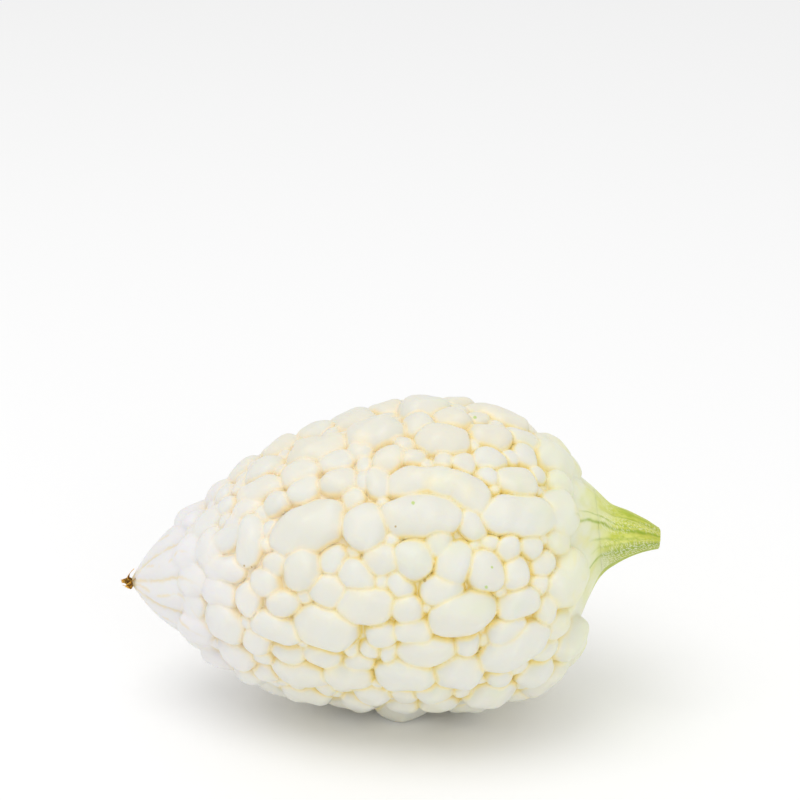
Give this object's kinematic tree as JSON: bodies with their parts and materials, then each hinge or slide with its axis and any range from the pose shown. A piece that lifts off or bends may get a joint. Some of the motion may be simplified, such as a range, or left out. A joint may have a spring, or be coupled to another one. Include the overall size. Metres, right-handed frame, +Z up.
{
  "type": "bitter melon",
  "caption": "Whole white bitter melon lying on its side: a plump tapering fruit covered in smooth rounded warts, with a ribbed green cut stalk and a dried flower at its tip.",
  "frame": {"origin": "on the surface that the melon lies on, under the middle of its box", "axes": "+X from the dried flower at the blossom tip towards the stalk, +Z up, and -Y towards the side that the picture shows"},
  "size_m": [0.1457, 0.0877, 0.0893],
  "materials": {
    "white_skin": "smooth waxy white skin, cream in the grooves between the warts and pale green towards the stalk",
    "green_stalk": "fresh yellow-green plant stalk, ribbed along its length and streaked with darker green",
    "brown_dried_flower": "dry crumpled dark brown flower remains"
  },
  "bodies": {
    "root": {"fruit": "white_skin", "stalk": "green_stalk", "dried_flower": "brown_dried_flower"}
  },
  "joints": []
}
